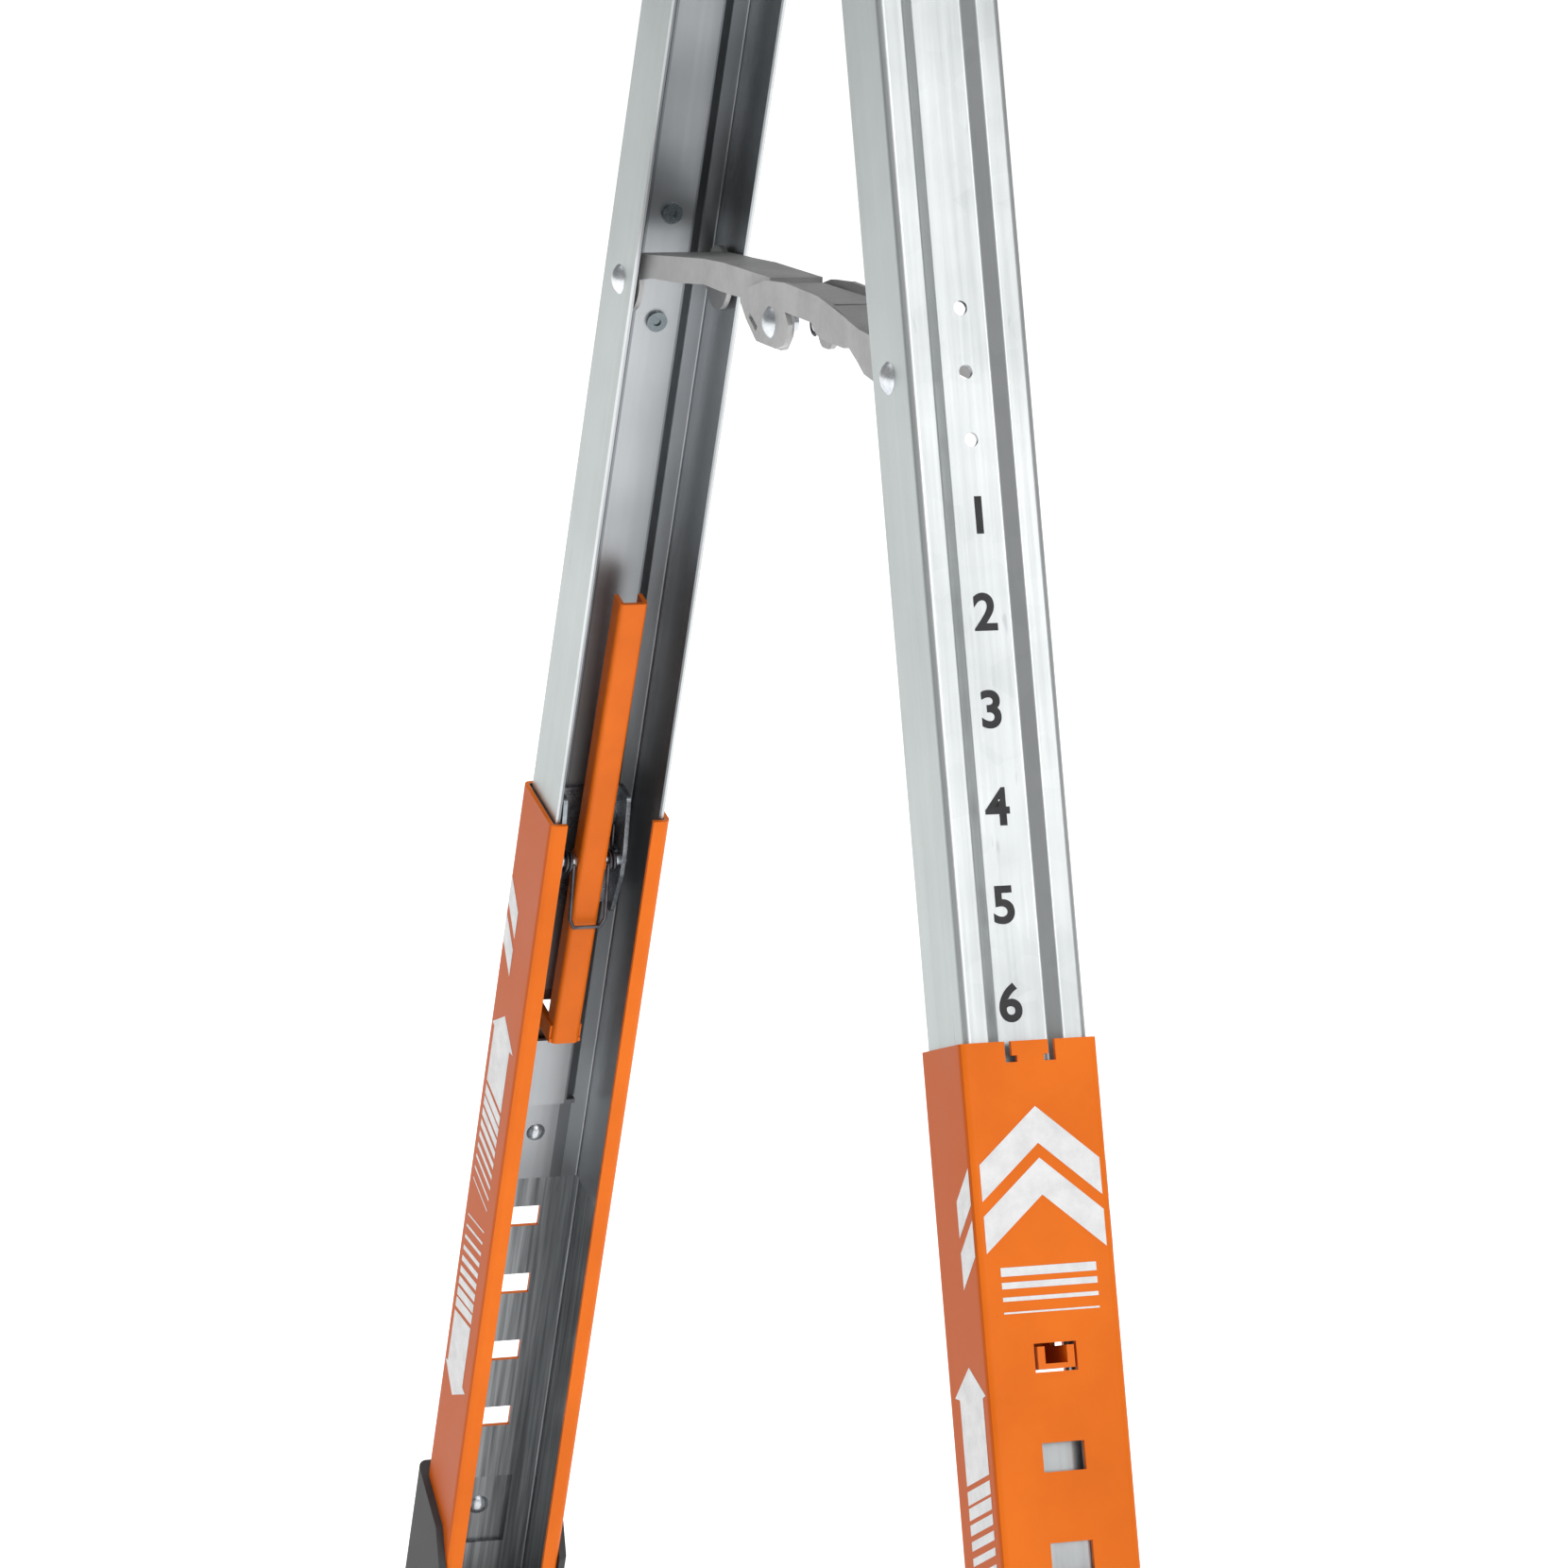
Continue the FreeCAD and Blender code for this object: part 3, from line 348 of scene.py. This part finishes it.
def print_ink(name, light, dark):
    s = Shader(name, IOR=1.46)
    wear = s.noise(180.0, 4.0, 0.7)
    s.set("Base Color", s.mix(s.ramp(wear, 0.35, 0.75), rgb(*light), rgb(*dark)))
    s.set("Roughness", s.ramp(wear, 0.3, 0.7, 0.42, 0.58))
    s.bump(wear, 0.05, 0.0001)
    return s.material


def floor_paper():
    s = Shader("floor_paper", Specular_IOR_Level=0.1, Emission_Color=rgb(1, 1, 1),
               Emission_Strength=FLOOR_GLOW)
    s.set("Base Color", s.mix(s.noise(1.5), rgb(0.93, 0.93, 0.93), rgb(0.95, 0.95, 0.95)))
    s.set("Roughness", s.ramp(s.noise(30.0), 0.3, 0.7, 0.9, 1.0))
    return s.material


def dress(node, material):
    for slot in NODES[node].material_slots:
        slot.material = material
    if not NODES[node].material_slots:
        NODES[node].data.materials.append(material)


def dress_everything():
    looks = {
        "zinc_hardware": satin_metal(
            "bright_zinc", (0.74, 0.77, 0.80), (0.52, 0.56, 0.60), 0.9, (0.24, 0.36), 140.0),
        "grey_brace": satin_metal(
            "brace_grey", (0.44, 0.44, 0.44), (0.36, 0.36, 0.36), 0.45, (0.40, 0.50), 60.0, 0.06),
        "spring_steel": satin_metal(
            "spring_steel", (0.13, 0.13, 0.14), (0.06, 0.06, 0.07), 0.9, (0.28, 0.42), 160.0),
        "black_bracket": satin_metal(
            "black_coat", (0.045, 0.045, 0.05), (0.025, 0.025, 0.028), 0.1, (0.38, 0.52), 60.0, 0.2),
        "orange_lever": orange_paint("lever_orange"),
        "black_rubber": moulded(
            "foot_rubber", (0.060, 0.060, 0.064), (0.026, 0.026, 0.028), (0.5, 0.68), 700.0, 0.2),
        "black_plastic": moulded(
            "cap_plastic", (0.050, 0.050, 0.054), (0.030, 0.030, 0.032), (0.42, 0.58), 900.0, 0.15),
    }
    # painted shade: the latch bracket gets a darker copy of the bright zinc, for the shade it sits in
    bracket = satin_metal("latch_zinc_painted_shade", (0.36, 0.40, 0.43), (0.14, 0.16, 0.18), 0.9, (0.24, 0.38), 110.0)
    dress("beam_rail", galvanised("beam_zinc", Matrix.Rotation(pi / 2, 4, "Y")))
    for part in frame["record"]["subparts"]:
        if part["material_slot"] in looks:
            dress(part["node"], looks[part["material_slot"]])
    for leg in LEGS:
        dress(leg + "_leg", galvanised(leg + "_zinc", LEG_FRAME[leg], hollow=LEG_HOLLOW))
        dress(leg + "_sleeve", orange_on_zinc(leg + "_coat", LEG_FRAME[leg]))
        dress(leg + "_leg_rivets", rivet_zinc(leg + "_rivet_zinc", LEG_FRAME[leg]))
        dress(leg + "_latch_bracket", bracket)


# ------------------------------------------------------------------ printed graphics
def add_print(name, mesh, material, body):
    """Puts a printed mesh in the scene, riding on a body."""
    mesh.materials.clear()
    mesh.materials.append(material)
    piece = put_in_scene(name, mesh)
    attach(piece, body)


def flat_mesh(name, outlines):
    """One face per outline, which is a list of world points on one plane."""
    mesh = bpy.data.meshes.new(name)
    shape = bmesh.new()
    for outline in outlines:
        shape.faces.new([shape.verts.new(point) for point in outline])
    shape.to_mesh(mesh)
    shape.free()
    return mesh


def digit_mesh(leg, number):
    """One height number on the leg's rib, right way up from outside."""
    curve = bpy.data.curves.new("%s_digit_%d" % (leg, number), "FONT")
    curve.body = str(number)
    curve.size = DIGIT_SIZE / CAP_HEIGHT
    curve.align_x, curve.align_y = "CENTER", "CENTER"
    curve.offset = DIGIT_BOLD
    text = put_in_scene(curve.name, curve)
    bpy.context.view_layer.update()
    mesh = bpy.data.meshes.new_from_object(text.evaluated_get(bpy.context.evaluated_depsgraph_get()))
    bpy.data.objects.remove(text)
    step = number - 1
    local = Matrix(((-1, 0, 0, DIGIT_X + step * DIGIT_DRIFT),
                    (0, 0, 1, RIB_FLOOR_Y + PRINT_LIFT),
                    (0, 1, 0, -(DIGIT_TOP_S + step * STEP)),
                    (0, 0, 0, 1)))
    mesh.transform(LEG_FRAME[leg] @ local)
    return mesh


def on_web(leg, points):
    """Leg-frame (x, s) in mm, to world points on the sleeve's web."""
    return [LEG_FRAME[leg] @ Vector((x * MM, SLEEVE_WEB_Y + PRINT_LIFT, -s * MM)) for x, s in points]


def on_flange(leg, sign, points):
    """Leg-frame (h, s) in mm, to world points on one of the sleeve's flanges."""
    ring = [LEG_FRAME[leg] @ Vector((sign * (SLEEVE_HALF + PRINT_LIFT), -h * MM, -s * MM)) for h, s in points]
    return ring if sign < 0 else ring[::-1]


def chevron(top):
    """A chevron that points up, in (x, s)."""
    wing = top + CHEVRON_DROP
    return [(0, top), (CHEVRON_HALF, wing), (CHEVRON_HALF, wing + CHEVRON_THICK),
            (0, top + CHEVRON_THICK), (-CHEVRON_HALF, wing + CHEVRON_THICK), (-CHEVRON_HALF, wing)]


def chevron_end(top):
    """The chevron's end, carried on round the corner on a flange, in (h, s)."""
    return [(0, top + 15.5), (0, top + 25.5), (10.0, top + 34), (10.0, top + 24)]


def thinning_bars(first, count, pitch, thickest, thinnest):
    """(start, end) of bars whose thickness falls from one end to the other."""
    for k in range(count):
        thick = thickest + (thinnest - thickest) * k / (count - 1)
        yield first + k * pitch, first + k * pitch + thick


def arrow(top):
    """Double-headed arrow down a flange, broken by thinning bars at its middle, in (h, s)."""
    low, high, tip, middle = 3.0, 19.5, 11.2, top + ARROW_HALF_LENGTH

    def mirrored(points):
        return [(h, 2 * middle - s) for h, s in points][::-1]

    head = [(tip, top), (22.8, top + 8.0), (high, top + 8.6), (high, top + 32), (low, top + 29),
            (low, top + 8.6), (0.9, top + 8.0)]
    shapes = [head, mirrored(head)]
    for start, end in thinning_bars(top + ARROW_BARS_DOWN, *ARROW_BARS):
        bar = [(low, start - 3), (high, start), (high, end), (low, end - 3)]
        shapes += [bar, mirrored(bar)]
    return shapes


def print_graphics():
    black = print_ink("digit_ink", (0.012, 0.012, 0.014), (0.035, 0.035, 0.038))
    white = print_ink("white_ink", (0.80, 0.80, 0.80), (0.66, 0.66, 0.67))
    for leg in LEGS:
        for number in DIGITS:
            add_print("%s_digit_%d" % (leg, number), digit_mesh(leg, number), black, leg + "_leg")
        marks = [chevron(top) for top in CHEVRON_TOPS]
        for start, end in thinning_bars(*WEB_BARS):
            marks.append([(-WEB_BAR_HALF, start), (-WEB_BAR_HALF, end), (WEB_BAR_HALF, end),
                          (WEB_BAR_HALF, start)])
        shapes = {"chevrons": [on_web(leg, mark) for mark in marks]}
        arrow_top = ARROW_TOP_OUTER if leg in OUTER_SIDE else ARROW_TOP_INNER
        for sign, place in ((1, "near"), (-1, "far")):
            shapes["arrow_" + place] = [on_flange(leg, sign, part) for part in arrow(arrow_top)]
            shapes["chevron_ends_" + place] = [on_flange(leg, sign, chevron_end(top)) for top in CHEVRON_TOPS]
        for kind, outlines in shapes.items():
            name = "%s_%s" % (leg, kind)
            add_print(name, flat_mesh(name, outlines), white, leg + "_sleeve")


# ------------------------------------------------------------------ studio
def area_light(name, where, target, side, power):
    data = bpy.data.lights.new(name, "AREA")
    data.shape, data.size, data.size_y = "RECTANGLE", side, side
    data.energy = power
    light = put_in_scene(name, data)
    light.location = where
    light.rotation_euler = (Vector(where) - Vector(target)).to_track_quat("Z", "Y").to_euler()


def studio():
    mesh = bpy.data.meshes.new("floor")
    shape = bmesh.new()
    bmesh.ops.create_grid(shape, x_segments=1, y_segments=1, size=FLOOR_HALF)
    shape.to_mesh(mesh)
    shape.free()
    floor = put_in_scene("floor", mesh)
    floor.location = (0, 0, FLOOR_DROP)
    mesh.materials.append(floor_paper())

    world = bpy.data.worlds.new("studio")
    bpy.context.scene.world = world
    world.use_nodes = True
    background = world.node_tree.nodes["Background"]
    background.inputs["Color"].default_value = rgb(1.0, 1.0, 1.0)
    background.inputs["Strength"].default_value = WORLD_STRENGTH
    for light in LIGHTS:
        area_light(*light)
    bpy.context.scene.view_settings.view_transform = "Standard"


# ------------------------------------------------------------------ build
add_camera()
dress_everything()
print_graphics()
studio()
